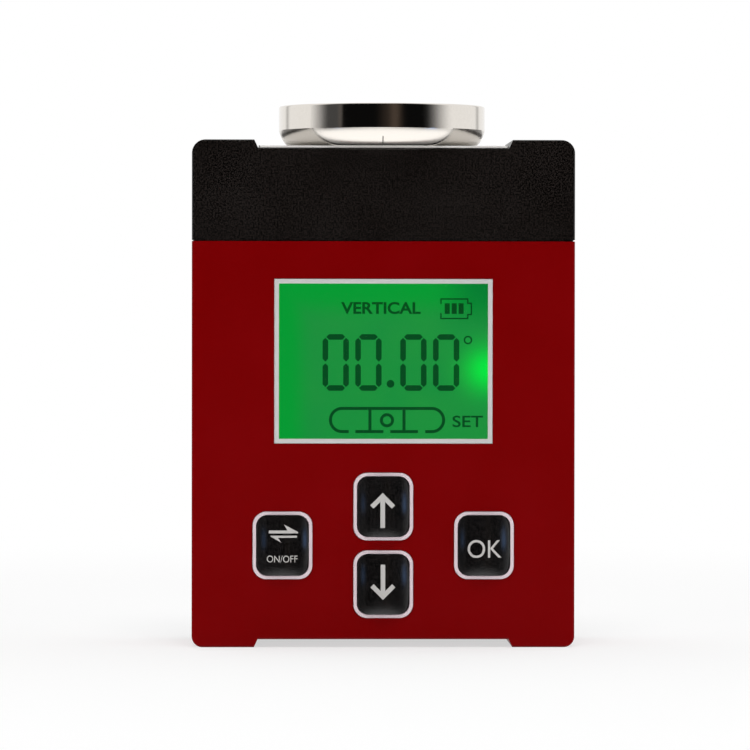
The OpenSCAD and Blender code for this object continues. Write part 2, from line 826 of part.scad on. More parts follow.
module both_sides_z() {
    children();
    mirror([0, 0, 1]) children();
}

// Small resistors and capacitors in two rows
module chip_parts() {
    color("tan") for (i = [0:5], row = [0, 1])
        translate([small_part_x + small_part_pitch * i, board_back_y, small_part_z - 3 * small_part_w * row])
            cube([small_part_l, small_part_t, small_part_w]);
}

// ---- Fasteners -----------------------------------------------------------

// Pan-head screw whose shank runs towards -Y from the seat of its head
module pan_screw(d, grip, head_r, head_h) {
    difference() {
        union() {
            rod_y(d / 2, -grip, head_h / 2);
            rod_y(head_r, 0, head_h);
        }
        // cross recess
        for (turn = [0, 90]) rotate([0, turn, 0])
            block([-head_r * 0.6, head_h * 0.45, -head_r * 0.12],
                [head_r * 0.6, head_h + over, head_r * 0.12]);
    }
}

module board_screws() {
    color("silver") at_posts() translate([0, board_back_y, 0])
        pan_screw(small_screw_d, board_t + board_screw_grip - thread_short, small_head_r, small_head_h);
}

module head_screws() {
    color("silver") both_sides() translate([lug_x, lug_y, lug_top_z - lug_t]) rotate([-90, 0, 0])
        pan_screw(small_screw_d, lug_t + head_screw_grip - thread_short, small_head_r, small_head_h);
}

module case_screws() {
    grip = case_seat_y - part_y + case_screw_grip - thread_short;
    color("dimgray") at_case_screws() translate([0, case_seat_y, 0])
        pan_screw(case_screw_d, grip, case_head_r, case_head_h);
}

// ---- Battery -------------------------------------------------------------

// One cell along X with its nub at the low end
module cell() {
    body = cell_l - nub_h;
    rotate([0, 90, 0]) {
        translate([0, 0, nub_h]) cylinder(r = cell_d / 2, h = body);
        cylinder(r = nub_r, h = nub_h + root);
    }
}

cell_start = -bay_l / 2 + contact_t + dimple_h;

module cell_upper() {
    color("goldenrod") translate([cell_start, cell_y, bay_z + cell_pitch / 2]) cell();
}

module cell_lower() {
    color("goldenrod") mirror([1, 0, 0]) translate([cell_start, cell_y, bay_z - cell_pitch / 2]) cell();
}

// Contact plate at the low X end of a cell, with a tail through the bay's floor
module contact_plate(tail) {
    half = cell_d / 3;
    translate([-bay_l / 2, 0, 0]) {
        block([0, cell_y - half, -half], [contact_t, door_y - contact_gap, half]);
        if (tail) block([0, bay_floor_y - bay_wall - tail_l, -tail_w / 2], [contact_t, cell_y, tail_w / 2]);
    }
}

// Low boss on a plate, which a cell's nub presses on
module dimple() {
    translate([-bay_l / 2 + contact_t - weld, cell_y, 0]) rotate([0, 90, 0])
        cylinder(r1 = nub_r, r2 = nub_r * 0.65, h = dimple_h + weld);
}

module contact_positive() {
    color("silver") translate([0, 0, bay_z + cell_pitch / 2]) {
        contact_plate(true);
        dimple();
    }
}

module contact_negative() {
    color("silver") translate([0, 0, bay_z - cell_pitch / 2]) contact_plate(true);
}

// Plate that joins the two cells at the high X end
module contact_link() {
    color("silver") mirror([1, 0, 0]) {
        for (z = [-1, 1]) translate([0, 0, bay_z + z * cell_pitch / 2]) contact_plate(false);
        block([-bay_l / 2, cell_y, bay_z - cell_pitch / 2],
            [-bay_l / 2 + contact_t, door_y - contact_gap, bay_z + cell_pitch / 2]);
        translate([0, 0, bay_z - cell_pitch / 2]) dimple();
    }
}

// Coil springs on the two negative contacts: each narrows towards its cell
spring_wire_r = 0.35;
spring_gap = 0.04;
spring_turns = 4;
spring_steps = 10;
spring_root_r = 3.2;
spring_tip_r = 2.2;

function coil_point(i, n, length) =
    let (s = i / n, r = spring_root_r + (spring_tip_r - spring_root_r) * s, a = 360 * spring_turns * s)
    [s * length, r * cos(a), r * sin(a)];

module coil_spring() {
    n = spring_turns * spring_steps;
    length = spring_l - 2 * (spring_wire_r + spring_gap);
    translate([spring_wire_r + spring_gap, 0, 0])
        wire([for (i = [0:n]) coil_point(i, n, length)], spring_wire_r, 6, [1, 0, 0]);
}

module contact_springs() {
    color("silver") {
        translate([-bay_l / 2 + contact_t, cell_y, bay_z - cell_pitch / 2]) coil_spring();
        mirror([1, 0, 0]) translate([-bay_l / 2 + contact_t, cell_y, bay_z + cell_pitch / 2]) coil_spring();
    }
}

// Insulated lead: up from the board, one bend, and along to a contact's tail
lead_r = 0.6;
lead_bend_r = 1.8;

module lead() {
    rise = bay_floor_y - bay_wall - tail_l / 2 - board_back_y - lead_bend_r;
    run = 2.5 * lead_r;
    translate([-bay_l / 2 - run - lead_bend_r, board_back_y, 0]) {
        rod_y(lead_r, 0, rise);
        translate([lead_bend_r, rise, 0]) rotate([0, 0, 90]) rotate_extrude(angle = 90)
            translate([lead_bend_r, 0]) circle(lead_r);
        translate([lead_bend_r, rise + lead_bend_r, 0]) rotate([0, 90, 0]) cylinder(r = lead_r, h = run);
    }
}

module lead_positive() {
    color("red") translate([0, 0, bay_z + cell_pitch / 2]) lead();
}

module lead_negative() {
    color("black") translate([0, 0, bay_z - cell_pitch / 2]) lead();
}

// ---- Pot magnet ----------------------------------------------------------

// Section of the steel cup: radius and height, open at the top
module cup_section() {
    r = cup_d / 2;
    screw_hole_r = mount_screw_d / 2 + 2 * pin_gap;
    head_hole_r = mount_head_r + 2 * pin_gap;
    difference() {
        union() {
            square([r - cup_edge_r, cup_h]);
            translate([0, cup_edge_r]) square([r, cup_h - cup_edge_r]);
            translate([r - cup_edge_r, cup_edge_r]) circle(cup_edge_r);
        }
        translate([-1, cup_floor]) square([r - cup_wall + 1, cup_h]);
        translate([-2 * r, -over]) square([2 * r, cup_h + 2 * over]);
        // the screw's hole, countersunk
        polygon([
            [-1, -over], [screw_hole_r, -over], [screw_hole_r, cup_floor - mount_head_r / 2],
            [head_hole_r, cup_floor], [head_hole_r, cup_h + over], [-1, cup_h + over]
        ]);
    }
}

// Thin plate in the head's recess. Its front edge shows as a light line under the magnet
module magnet_seat() {
    color("white") difference() {
        block(
            [-seat_w / 2, front_y + edge_r, recess_top_z],
            [seat_w / 2, back_y - edge_r, cup_z]
        );
        translate([0, 0, recess_top_z - over])
            cylinder(r = mount_screw_d / 2 + 2 * pin_gap, h = seat_t + 2 * over);
    }
}

module magnet_cup() {
    color("silver") translate([0, 0, cup_z]) rotate_extrude() cup_section();
}

module ring_magnet() {
    color("gainsboro") translate([0, 0, cup_z + cup_floor]) difference() {
        cylinder(d = ring_magnet_d, h = ring_magnet_h);
        translate([0, 0, -over]) cylinder(d = magnet_bore_d, h = ring_magnet_h + 2 * over);
    }
}

// Countersunk screw through cup, seat, roof and anchor plate into the nut
module magnet_screw() {
    top = cup_z + cup_floor;
    tip = roof_z - anchor_t - nut_h - thread_past;
    cone_h = mount_head_r - mount_screw_d / 2;
    hex_r = mount_screw_d * 0.35;
    color("silver") difference() {
        union() {
            translate([0, 0, tip]) cylinder(d = mount_screw_d, h = top - tip - cone_h / 2);
            translate([0, 0, top - cone_h]) cylinder(r1 = mount_screw_d / 2, r2 = mount_head_r, h = cone_h);
        }
        translate([0, 0, top - cone_h * 0.8]) cylinder(r = hex_r, h = cone_h + over, $fn = 6);
    }
}

// Steel plate under the head's roof, which spreads the magnet's pull
module anchor_plate() {
    color("slategray") difference() {
        along_z(roof_z - anchor_t, roof_z) rounded_rect(anchor_w, anchor_d, 2);
        translate([0, 0, roof_z - anchor_t - over])
            cylinder(r = mount_screw_d / 2 + 2 * pin_gap, h = anchor_t + 2 * over);
    }
}

module anchor_nut() {
    color("silver") translate([0, 0, roof_z - anchor_t - nut_h]) difference() {
        cylinder(r = nut_corner_r, h = nut_h, $fn = 6);
        translate([0, 0, -over]) cylinder(r = mount_screw_d / 2 + pin_gap, h = nut_h + 2 * over);
    }
}

// ---- Nodes ---------------------------------------------------------------

body_shell();
head_shell();
rear_cover();
battery_door();
display_bezel();
display_lens();
lcd_glass();
light_guide();
backlight_led();
lcd_holder();
contact_strip();
key_frame();
for (k = KEYS) {
    translate([k[1], 0, k[2]]) keycap();
    translate([k[1], 0, k[2]]) plunger();
}
switch_bodies();
main_board();
controller_chip();
tilt_sensor();
chip_parts();
board_screws();
cell_upper();
cell_lower();
contact_positive();
contact_negative();
contact_link();
contact_springs();
lead_positive();
lead_negative();
magnet_seat();
magnet_cup();
ring_magnet();
magnet_screw();
anchor_plate();
anchor_nut();
head_screws();
case_screws();
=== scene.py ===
"""Digital camber and caster gauge, dressed over its packed construction model.

The sections follow the order in which the real gauge is put together: the red body, the
black mouldings, the display, the keypad, the board, the plated pieces, the cells with
their leads, and the pot magnet on its seat. The studio comes last. Lengths are metres.
"""

import bmesh
import bpy
import numpy as np
from mathutils import Matrix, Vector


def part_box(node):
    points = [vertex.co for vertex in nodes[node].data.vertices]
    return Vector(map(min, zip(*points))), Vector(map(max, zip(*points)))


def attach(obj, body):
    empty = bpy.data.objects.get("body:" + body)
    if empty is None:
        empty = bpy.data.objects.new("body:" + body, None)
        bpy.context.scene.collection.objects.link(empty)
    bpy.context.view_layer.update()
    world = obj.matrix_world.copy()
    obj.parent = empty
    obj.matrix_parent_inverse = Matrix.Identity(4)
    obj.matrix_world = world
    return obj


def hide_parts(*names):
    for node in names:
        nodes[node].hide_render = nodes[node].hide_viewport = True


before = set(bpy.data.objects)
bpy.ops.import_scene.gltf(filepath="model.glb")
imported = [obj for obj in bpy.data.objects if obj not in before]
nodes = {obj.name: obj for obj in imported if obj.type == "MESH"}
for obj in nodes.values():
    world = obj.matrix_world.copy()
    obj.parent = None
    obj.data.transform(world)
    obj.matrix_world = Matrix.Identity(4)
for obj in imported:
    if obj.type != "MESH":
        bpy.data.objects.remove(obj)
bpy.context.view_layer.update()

# ---- Red body ------------------------------------------------------------------
# Front, sides and lower feet are one injection moulding in red ABS. Its steel tool
# was finely eroded, so the face is satin and mirrors very little, and flow marks
# change its colour and gloss a little from place to place.

MM = 0.001
ABS_IOR = 1.54


def linear(code):
    """Scene-linear RGBA of an sRGB hex colour, by the sRGB transfer curve."""
    level = np.array([int(code[i:i + 2], 16) for i in (1, 3, 5)]) / 255
    level = np.where(level <= 0.04045, level / 12.92, ((level + 0.055) / 1.055) ** 2.4)
    return (*level.tolist(), 1.0)


def new_material(name):
    """A material with an empty node tree."""
    made = bpy.data.materials.new(name)
    made.use_nodes = True
    made.node_tree.nodes.clear()
    return made


def add(owner, kind, inputs=None, **settings):
    """Adds a node with its settings. An input given as a socket is linked, any other is a value."""
    tree = owner.node_tree
    node = tree.nodes.new("ShaderNode" + kind)
    for name, value in settings.items():
        setattr(node, name, value)
    for name, value in (inputs or {}).items():
        if isinstance(value, bpy.types.NodeSocket):
            tree.links.new(value, node.inputs[name])
        else:
            node.inputs[name].default_value = value
    return node


def calc(owner, operation, first, second=0.0, **settings):
    """One sum of two numbers or sockets."""
    return add(owner, "Math", {0: first, 1: second}, operation=operation, **settings).outputs["Value"]


def noise(owner, place, size, detail):
    """Noise from 0 to 1 whose patches are about size metres wide."""
    return add(owner, "TexNoise", {"Vector": place, "Scale": 1 / size, "Detail": detail}).outputs["Fac"]


def ramp(owner, value, start, end, low, high, kind="LINEAR"):
    """Runs from low, where value is start, to high, where it is end, and stays there."""
    return add(owner, "MapRange", {"Value": value, "From Min": start, "From Max": end,
                                   "To Min": low, "To Max": high},
               interpolation_type=kind).outputs["Result"]


def blend(owner, share, first, second, **settings):
    """Mix of two colours, each an sRGB hex code, a linear RGBA or a socket, by the second's share."""
    first, second = (linear(end) if isinstance(end, str) else end for end in (first, second))
    return add(owner, "MixRGB", {"Fac": share, "Color1": first, "Color2": second},
               **settings).outputs["Color"]


def relief(owner, height, depth):
    """Normal of a surface whose bumps follow height and are depth metres deep."""
    return add(owner, "Bump", {"Height": height, "Strength": 1.0, "Distance": depth}).outputs["Normal"]


def skin(owner, inputs):
    """Ends a material's tree in one Principled surface with these inputs."""
    shader = add(owner, "BsdfPrincipled", inputs)
    add(owner, "OutputMaterial", {"Surface": shader.outputs["BSDF"]})
    return owner


def moulded(name, dark, light, grain, depth, gloss, ior=ABS_IOR, flow=16 * MM, speckle=0.0,
            mirror=0.5):
    """A moulded plastic: grain of one size in bump and, as speckle, in its colour.

    Slow flow marks, flow metres long, turn the colour from dark to light and the
    roughness from one end of gloss to the other. mirror is the Specular IOR Level: 0.5 is
    a whole skin, and less is one whose eroded pits swallow part of the reflection.
    """
    made = new_material(name)
    place = add(made, "TexCoord").outputs["Object"]
    fine = noise(made, place, grain, 3.0)
    slow = noise(made, place, flow, 2.0)
    fleck = ramp(made, fine, 0.35, 0.65, -speckle, speckle)
    share = calc(made, "ADD", slow, fleck, use_clamp=True)
    return skin(made, {
        "Base Color": blend(made, share, dark, light),
        "Roughness": ramp(made, slow, 0.3, 0.7, *gloss), "IOR": ior,
        "Specular IOR Level": mirror, "Normal": relief(made, fine, depth)})


def dress(material, *names):
    """Gives nodes of the construction model their finish."""
    for name in names:
        for slot in nodes[name].material_slots:
            slot.material = material


# The eroded grain is about 0.3 mm wide and 3 microns deep
red_abs = moulded("abs_red_satin", "#740001", "#7d0004", 0.3 * MM, 0.003 * MM, (0.28, 0.36),
                  mirror=0.06)
dress(red_abs, "body_shell")

# ---- Black head, rear cover and battery door ---------------------------------------
# Three mouldings in black ABS. Their tools were eroded more coarsely than the body's,
# which breaks the light up into fine grey flecks.

black_abs = moulded("abs_black_spark_grain", "#000000", "#211c1a", 0.32 * MM, 0.012 * MM,
                    (0.28, 0.38), speckle=1.5, mirror=0.4)
dress(black_abs, "head_shell", "rear_cover", "battery_door")

# ---- Display bezel and lens ----------------------------------------------------------
# The bezel is a white ABS frame, pressed through the body from behind. A clear acrylic
# lens sits in it, polished on both faces.

white_abs = moulded("abs_white_half_gloss", "#c9c8c7", "#d2d1d0", 0.4 * MM, 0.002 * MM, (0.30, 0.36))
dress(white_abs, "display_bezel")

ACRYLIC_IOR = 1.49
acrylic = skin(new_material("acrylic_clear_polished"), {
    "Base Color": linear("#fbfdfc"), "Transmission Weight": 1.0, "Roughness": 0.02,
    "IOR": ACRYLIC_IOR})
dress(acrylic, "display_lens")

# ---- Liquid crystal display ----------------------------------------------------------
# Two sheets of glass over a clear light guide, lit green by one small lamp at the right
# edge. The guide leaks most light beside the lamp and a little along its left and upper
# edges, and the corner above the lamp stays dull.

SCREEN_LEFT, SCREEN_RIGHT = -20.9 * MM, 20.9 * MM
SCREEN_TOP = 73.1 * MM
LAMP_Z = 55.8 * MM
GLOW_RADIUS = 4.2 * MM


def fade(owner, value, start, end, low=0.0, high=1.0):
    """A smooth step from low, where value is start, to high, where it is end."""
    return ramp(owner, value, start, end, low, high, kind="SMOOTHERSTEP")


def backlight(owner):
    """Colour of the green light that comes through the glass, by place.

    Middle colour, mixed to an edge colour near the left and upper edges, to a dull one
    in the upper right corner, and to the lamp's colour by exp(-(distance / radius)^2).
    """
    place = add(owner, "TexCoord").outputs["Object"]
    axes = add(owner, "SeparateXYZ", {"Vector": place})
    x, z = axes.outputs["X"], axes.outputs["Z"]
    left = fade(owner, x, SCREEN_LEFT + 8 * MM, SCREEN_LEFT + 1 * MM)
    upper = fade(owner, z, SCREEN_TOP - 9 * MM, SCREEN_TOP - 1 * MM)
    edge = calc(owner, "MAXIMUM", left, upper)
    corner = calc(owner, "MULTIPLY", fade(owner, x, 8 * MM, SCREEN_RIGHT),
                  fade(owner, z, SCREEN_TOP - 12 * MM, SCREEN_TOP))
    dx = calc(owner, "DIVIDE", calc(owner, "SUBTRACT", x, SCREEN_RIGHT), GLOW_RADIUS)
    dz = calc(owner, "DIVIDE", calc(owner, "SUBTRACT", z, LAMP_Z), GLOW_RADIUS)
    square = calc(owner, "ADD", calc(owner, "MULTIPLY", dx, dx), calc(owner, "MULTIPLY", dz, dz))
    lamp = calc(owner, "EXPONENT", calc(owner, "MULTIPLY", square, -1.0))
    middle = blend(owner, noise(owner, place, 9 * MM, 1.0), "#149040", "#22983f")
    rim = blend(owner, edge, middle, "#029f35")
    dull = blend(owner, corner, rim, "#018234")
    return blend(owner, lamp, dull, "#02ee44")


def lit(owner, light):
    """Surface of the display's glass: dark in itself, with one colour of light coming through."""
    return skin(owner, {
        "Base Color": linear("#030604"), "Roughness": 0.3, "IOR": 1.52, "Specular IOR Level": 0.2,
        "Emission Color": light, "Emission Strength": 1.0})


lcd_glass = new_material("display_glass_lit_green")
dress(lit(lcd_glass, backlight(lcd_glass)), "lcd_glass")

# The guide, its lamp, the tray behind it and the rubber strip that feeds the glass show
# only when the gauge is open
guide_acrylic = moulded("acrylic_green_light_guide", "#0c8f3c", "#12a548", 0.5 * MM, 0.004 * MM,
                        (0.10, 0.16), ior=ACRYLIC_IOR)
dress(guide_acrylic, "light_guide")
lamp_resin = moulded("lamp_resin_milky", "#bff2cf", "#d2f8dc", 0.4 * MM, 0.002 * MM, (0.25, 0.3))
dress(lamp_resin, "backlight_led")
tray_abs = moulded("abs_white_tray_matt", "#c9cbc6", "#d4d5d0", 0.4 * MM, 0.006 * MM, (0.5, 0.6))
dress(tray_abs, "lcd_holder")

# The contact strip is silicone rubber in thin layers, conducting and insulating by turns.
# A wave texture of Scale 1 repeats every WAVE_PITCH metres.
LAYER_PITCH = 0.36 * MM
WAVE_PITCH = 0.314
strip_rubber = new_material("silicone_rubber_layered")
place = add(strip_rubber, "TexCoord").outputs["Object"]
layers = add(strip_rubber, "TexWave",
             {"Vector": place, "Scale": WAVE_PITCH / LAYER_PITCH, "Distortion": 0.0},
             wave_type="BANDS", bands_direction="X")
skin(strip_rubber, {"Base Color": blend(strip_rubber, layers.outputs["Fac"], "#26262a", "#6e6e70"),
                    "Roughness": 0.7, "IOR": 1.41})
dress(strip_rubber, "contact_strip")

# ---- Figures and signs on the display ---------------------------------------------------
# Darkened crystal between the two glasses: figures in segments with chamfered ends, a
# battery sign, a level with its bubble, and two words. They lie on the glass as sheets
# 0.03 mm thick.

INK_FRONT, INK_BACK = -13.03 * MM, -13.0 * MM


def prism(outline):
    """Sheet between the ink's two planes, from an outline that runs anticlockwise in X and Z.

    Front and back are one polygon each, and each edge of the outline makes one side.
    """
    flat = np.asarray(outline, float) * MM
    n = len(flat)
    front = np.column_stack([flat[:, 0], np.full(n, INK_FRONT), flat[:, 1]])
    back = np.column_stack([flat[:, 0], np.full(n, INK_BACK), flat[:, 1]])
    i = np.arange(n)
    j = (i + 1) % n
    sides = np.column_stack([j, i, i + n, j + n])
    return np.vstack([front, back]), [i.tolist(), (i + n)[::-1].tolist(), *sides.tolist()]


def lattice(rows, columns, close_rows=False, close_columns=False):
    """Four-sided faces of a grid of points, numbered along each row and then row by row.

    A closed direction joins its last point to its first.
    """
    i = np.arange(rows if close_rows else rows - 1)[:, None]
    k = np.arange(columns if close_columns else columns - 1)[None, :]
    i_next, k_next = (i + 1) % rows, (k + 1) % columns
    corners = ((i, k), (i, k_next), (i_next, k_next), (i_next, k))
    return np.stack([row * columns + column for row, column in corners], -1).reshape(-1, 4).tolist()


def bar(points, closed=False):
    """Bar through rows of four corners, with its two ends capped unless it is a closed loop."""
    faces = lattice(len(points), 4, closed, True)
    if not closed:
        last = 4 * (len(points) - 1)
        faces += [[3, 2, 1, 0], [last, last + 1, last + 2, last + 3]]
    return points.reshape(-1, 3), faces


def band(path, width, closed=False):
    """Line of one width along a path: a four-cornered section carried from point to point.

    At each point the section lies along the mitre, half of width each way divided by the
    cosine of half the bend.
    """
    path = np.asarray(path, float) * MM
    if closed:
        before, after = path - np.roll(path, 1, 0), np.roll(path, -1, 0) - path
    else:
        leg = np.diff(path, axis=0)
        before, after = np.vstack([leg[:1], leg]), np.vstack([leg, leg[-1:]])
    before /= np.linalg.norm(before, axis=1)[:, None]
    after /= np.linalg.norm(after, axis=1)[:, None]
    along = before + after
    along /= np.linalg.norm(along, axis=1)[:, None]
    mitre = np.sum(along * after, axis=1)[:, None]
    out = np.column_stack([-along[:, 1], along[:, 0]]) / mitre * width * MM / 2
    points = np.zeros((len(path), 4, 3))
    points[:, (0, 3), ::2] = (path + out)[:, None]
    points[:, (1, 2), ::2] = (path - out)[:, None]
    points[:, :2, 1], points[:, 2:, 1] = INK_FRONT, INK_BACK
    return bar(points, closed)


def word(text, left, right, low, high, weight=0.0):
    """A word in the plain built-in letters, fitted to a box in X and Z, on the ink's planes."""
    letters = bpy.data.curves.new(text, "FONT")
    letters.body, letters.extrude, letters.offset = text, 0.5, weight
    drawn = bpy.data.objects.new(text, letters)
    bpy.context.scene.collection.objects.link(drawn)
    bpy.context.view_layer.update()
    mesh = bpy.data.meshes.new_from_object(drawn)
    points = np.zeros(len(mesh.vertices) * 3)
    mesh.vertices.foreach_get("co", points)
    points = points.reshape(-1, 3)
    faces = [list(face.vertices) for face in mesh.polygons]
    bpy.data.objects.remove(drawn)
    bpy.data.meshes.remove(mesh)
    share = (points - points.min(0)) / np.ptp(points, axis=0)
    placed = np.column_stack([
        (left + share[:, 0] * (right - left)) * MM,
        INK_BACK + share[:, 2] * (INK_FRONT - INK_BACK),
        (low + share[:, 1] * (high - low)) * MM])
    return placed, faces


def arc(centre, radius, start, end, steps=24):
    """Points of a circle's arc: centre + radius * (cos, sin) of evenly spaced degrees."""
    angle = np.radians(np.linspace(start, end, steps))
    return np.column_stack([centre[0] + radius * np.cos(angle), centre[1] + radius * np.sin(angle)])


def ring(centre, radius, width):
    """A closed circle of one line width."""
    return band(arc(centre, radius, 0, 352.5, 48), width, closed=True)


def new_piece(name, parts, material, body, crease=40):
    """One mesh from parts of vertices and faces, closed at its seams, that rides on a body."""
    vertices, faces, start = [], [], 0
    for points, polygons in parts:
        vertices.append(points)
        faces += [[corner + start for corner in polygon] for polygon in polygons]
        start += len(points)
    mesh = bpy.data.meshes.new(name)
    mesh.from_pydata(np.vstack(vertices).tolist(), [], faces)
    work = bmesh.new()
    work.from_mesh(mesh)
    bmesh.ops.remove_doubles(work, verts=work.verts, dist=1e-7)
    work.to_mesh(mesh)
    work.free()
    mesh.materials.append(material)
    mesh.shade_smooth()
    mesh.set_sharp_from_angle(angle=np.radians(crease))
    made = bpy.data.objects.new(name, mesh)
    bpy.context.scene.collection.objects.link(made)
    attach(made, body)
    return made


# The dye lets about a quarter of the light through
DYE = (0.04, 0.24, 0.28, 1.0)
lcd_ink = new_material("display_crystal_dark")
lit(lcd_ink, blend(lcd_ink, 1.0, backlight(lcd_ink), DYE, blend_type="MULTIPLY"))

# Figures: four noughts without their middle strokes, the point and the degree sign
FIGURE_X = (-9.56, -2.97, 6.09, 12.69)
FIGURE_Z = 57.22
FIGURE_W, FIGURE_H = 4.17, 10.28  # between the middles of the strokes
STROKE = 1.13
STROKE_GAP = 0.17
POINT, POINT_R = (1.49, 52.93), 0.78
DEGREE, DEGREE_R, DEGREE_LINE = (17.08, 61.77), 0.71, 0.31


def segment(start, end):
    """One stroke of a figure: a bar with both ends cut to a point at 45 degrees."""
    start, end = np.array(start, float), np.array(end, float)
    along = (end - start) / np.linalg.norm(end - start)
    across = np.array([-along[1], along[0]]) * STROKE / 2
    tip_a, tip_b = start + along * STROKE_GAP, end - along * STROKE_GAP
    neck = along * STROKE / 2
    return prism([tip_a, tip_a + neck - across, tip_b - neck - across,
                  tip_b, tip_b - neck + across, tip_a + neck + across])


parts = []
low, high = FIGURE_Z - FIGURE_H / 2, FIGURE_Z + FIGURE_H / 2
for x in FIGURE_X:
    left, right = x - FIGURE_W / 2, x + FIGURE_W / 2
    parts += [segment((left, z), (right, z)) for z in (low, high)]
    parts += [segment((side, start), (side, end)) for side in (left, right)
              for start, end in ((low, FIGURE_Z), (FIGURE_Z, high))]
parts += [prism(arc(POINT, POINT_R, 0, 350, 36)), ring(DEGREE, DEGREE_R, DEGREE_LINE)]

# Battery sign: an outline with its left side open, a nub on the right and three bars
SIGN_LINE = 0.28
SIGN_X, SIGN_NUB_X, SIGN_END_X = 11.63, 17.03, 17.76
SIGN_LOW, SIGN_HIGH = 66.1, 70.03
CHARGE_X, CHARGE_W = (12.89, 14.3, 15.68), 1.03
CHARGE_LOW, CHARGE_HIGH = 67.02, 69.17
parts.append(band([(SIGN_X, 67.21), (SIGN_X, SIGN_LOW), (SIGN_NUB_X, SIGN_LOW), (SIGN_NUB_X, 66.91),
                   (SIGN_END_X, 66.91), (SIGN_END_X, 69.17), (SIGN_NUB_X, 69.17),
                   (SIGN_NUB_X, SIGN_HIGH), (SIGN_X, SIGN_HIGH), (SIGN_X, 69.02)], SIGN_LINE))
parts += [band([(x, CHARGE_LOW), (x, CHARGE_HIGH)], CHARGE_W) for x in CHARGE_X]

# Level: a capsule whose lower line is broken, two marks, each on a foot, and the bubble
LEVEL_LINE = 0.62
LEVEL_LOW, LEVEL_HIGH = 43.31, 47.97
LEVEL_R = (LEVEL_HIGH - LEVEL_LOW) / 2
LEVEL_Z = LEVEL_LOW + LEVEL_R
BUBBLE, BUBBLE_R = (0.78, LEVEL_Z - 0.05), 1.12
capsule = np.vstack([[(-6.91, LEVEL_LOW)], arc((-8.28, LEVEL_Z), LEVEL_R, 270, 90),
                     arc((9.87, LEVEL_Z), LEVEL_R, 90, -90), [(8.48, LEVEL_LOW)]])
parts.append(band(capsule, LEVEL_LINE))
for x, foot_start, foot_end in ((-2.65, -5.59, 0.07), (4.21, 1.44, 7.04)):
    parts.append(band([(foot_start, LEVEL_LOW), (foot_end, LEVEL_LOW)], LEVEL_LINE))
    parts.append(band([(x, LEVEL_LOW + LEVEL_LINE / 2), (x, LEVEL_HIGH - LEVEL_LINE / 2)], LEVEL_LINE))
parts.append(ring(BUBBLE, BUBBLE_R, LEVEL_LINE))
parts.append(word("VERTICAL", -8.5, 7.54, 66.98, 69.42, weight=0.028))
parts.append(word("SET", 13.99, 20.12, 44.19, 46.55, weight=0.012))
new_piece("display_figures", parts, lcd_ink, "case")

# ---- Keypad ----------------------------------------------------------------------------
# One white ABS moulding behind the front carries a ring round each key. The four black
# keys are crowned like a barrel, more across than over, and their grain is finer and
# glossier than the head's.

# The rings' white carries a pink tint: painted red light, bounced from the body around them.
ring_abs_red_bounce_tint = moulded("abs_white_key_ring_painted_red_bounce", "#decdd3", "#e6d6dc", 0.4 * MM, 0.002 * MM, (0.34, 0.40))
dress(ring_abs_red_bounce_tint, "key_frame")
key_abs = moulded("abs_black_key_satin", "#050505", "#1d1b1b", 0.26 * MM, 0.006 * MM, (0.13, 0.18),
                  speckle=1.2)
dress(key_abs, "key_on_off", "key_up", "key_down", "key_ok")

# Signs are printed on the keys in light grey ink, 0.03 mm thick, and follow the crown
CROWN_ACROSS_R = 9 * MM
CROWN_OVER_R = 28 * MM
INK_T = 0.03 * MM
legend_ink = moulded("ink_light_grey_printed", "#bdbbb8", "#c9c7c4", 0.3 * MM, 0.003 * MM, (0.5, 0.6))


def crown_drop(x, z):
    """How far the crown lies behind its highest point at x across and z up from the middle.

    A ring turned about the X axis: its outer radius over the height is the greater one,
    and its own section is a circle of the smaller radius across the width.
    """
    reach = CROWN_OVER_R - CROWN_ACROSS_R + np.sqrt(CROWN_ACROSS_R ** 2 - x ** 2)
    return CROWN_OVER_R - np.sqrt(reach ** 2 - z ** 2)


def sliced(part, pitch=0.3 * MM):
    """The same sheet cut by upright and level planes, one pitch apart, so that it can bend."""
    work = bmesh.new()
    for point in part[0].tolist():
        work.verts.new(point)
    work.verts.ensure_lookup_table()
    for polygon in part[1]:
        work.faces.new([work.verts[corner] for corner in polygon])
    bmesh.ops.remove_doubles(work, verts=work.verts, dist=1e-8)
    for normal in ((1, 0, 0), (0, 0, 1)):
        reach = [vertex.co.dot(normal) for vertex in work.verts]
        for place in np.arange(min(reach) + pitch, max(reach), pitch):
            everything = [*work.verts, *work.edges, *work.faces]
            bmesh.ops.bisect_plane(work, geom=everything, dist=1e-8, plane_no=normal,
                                   plane_co=[place * axis for axis in normal])
    work.verts.index_update()
    points = np.array([vertex.co for vertex in work.verts])
    faces = [[vertex.index for vertex in face.verts] for face in work.faces]
    work.free()
    return points, faces


def legend(key, parts):
    """Prints parts, drawn round the key's middle in millimetres, onto that key's crown."""
    low, high = (np.array(corner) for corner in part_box("key_" + key))
    middle = (low + high) / 2
    printed = []
    for points, faces in map(sliced, parts):
        lift = (INK_BACK - points[:, 1]) / (INK_BACK - INK_FRONT) * INK_T
        placed = np.column_stack([
            middle[0] + points[:, 0],
            low[1] + crown_drop(points[:, 0], points[:, 2]) - lift,
            middle[2] + points[:, 2]])
        printed.append((placed, faces))
    return new_piece("legend_" + key, printed, legend_ink, key + "_key")


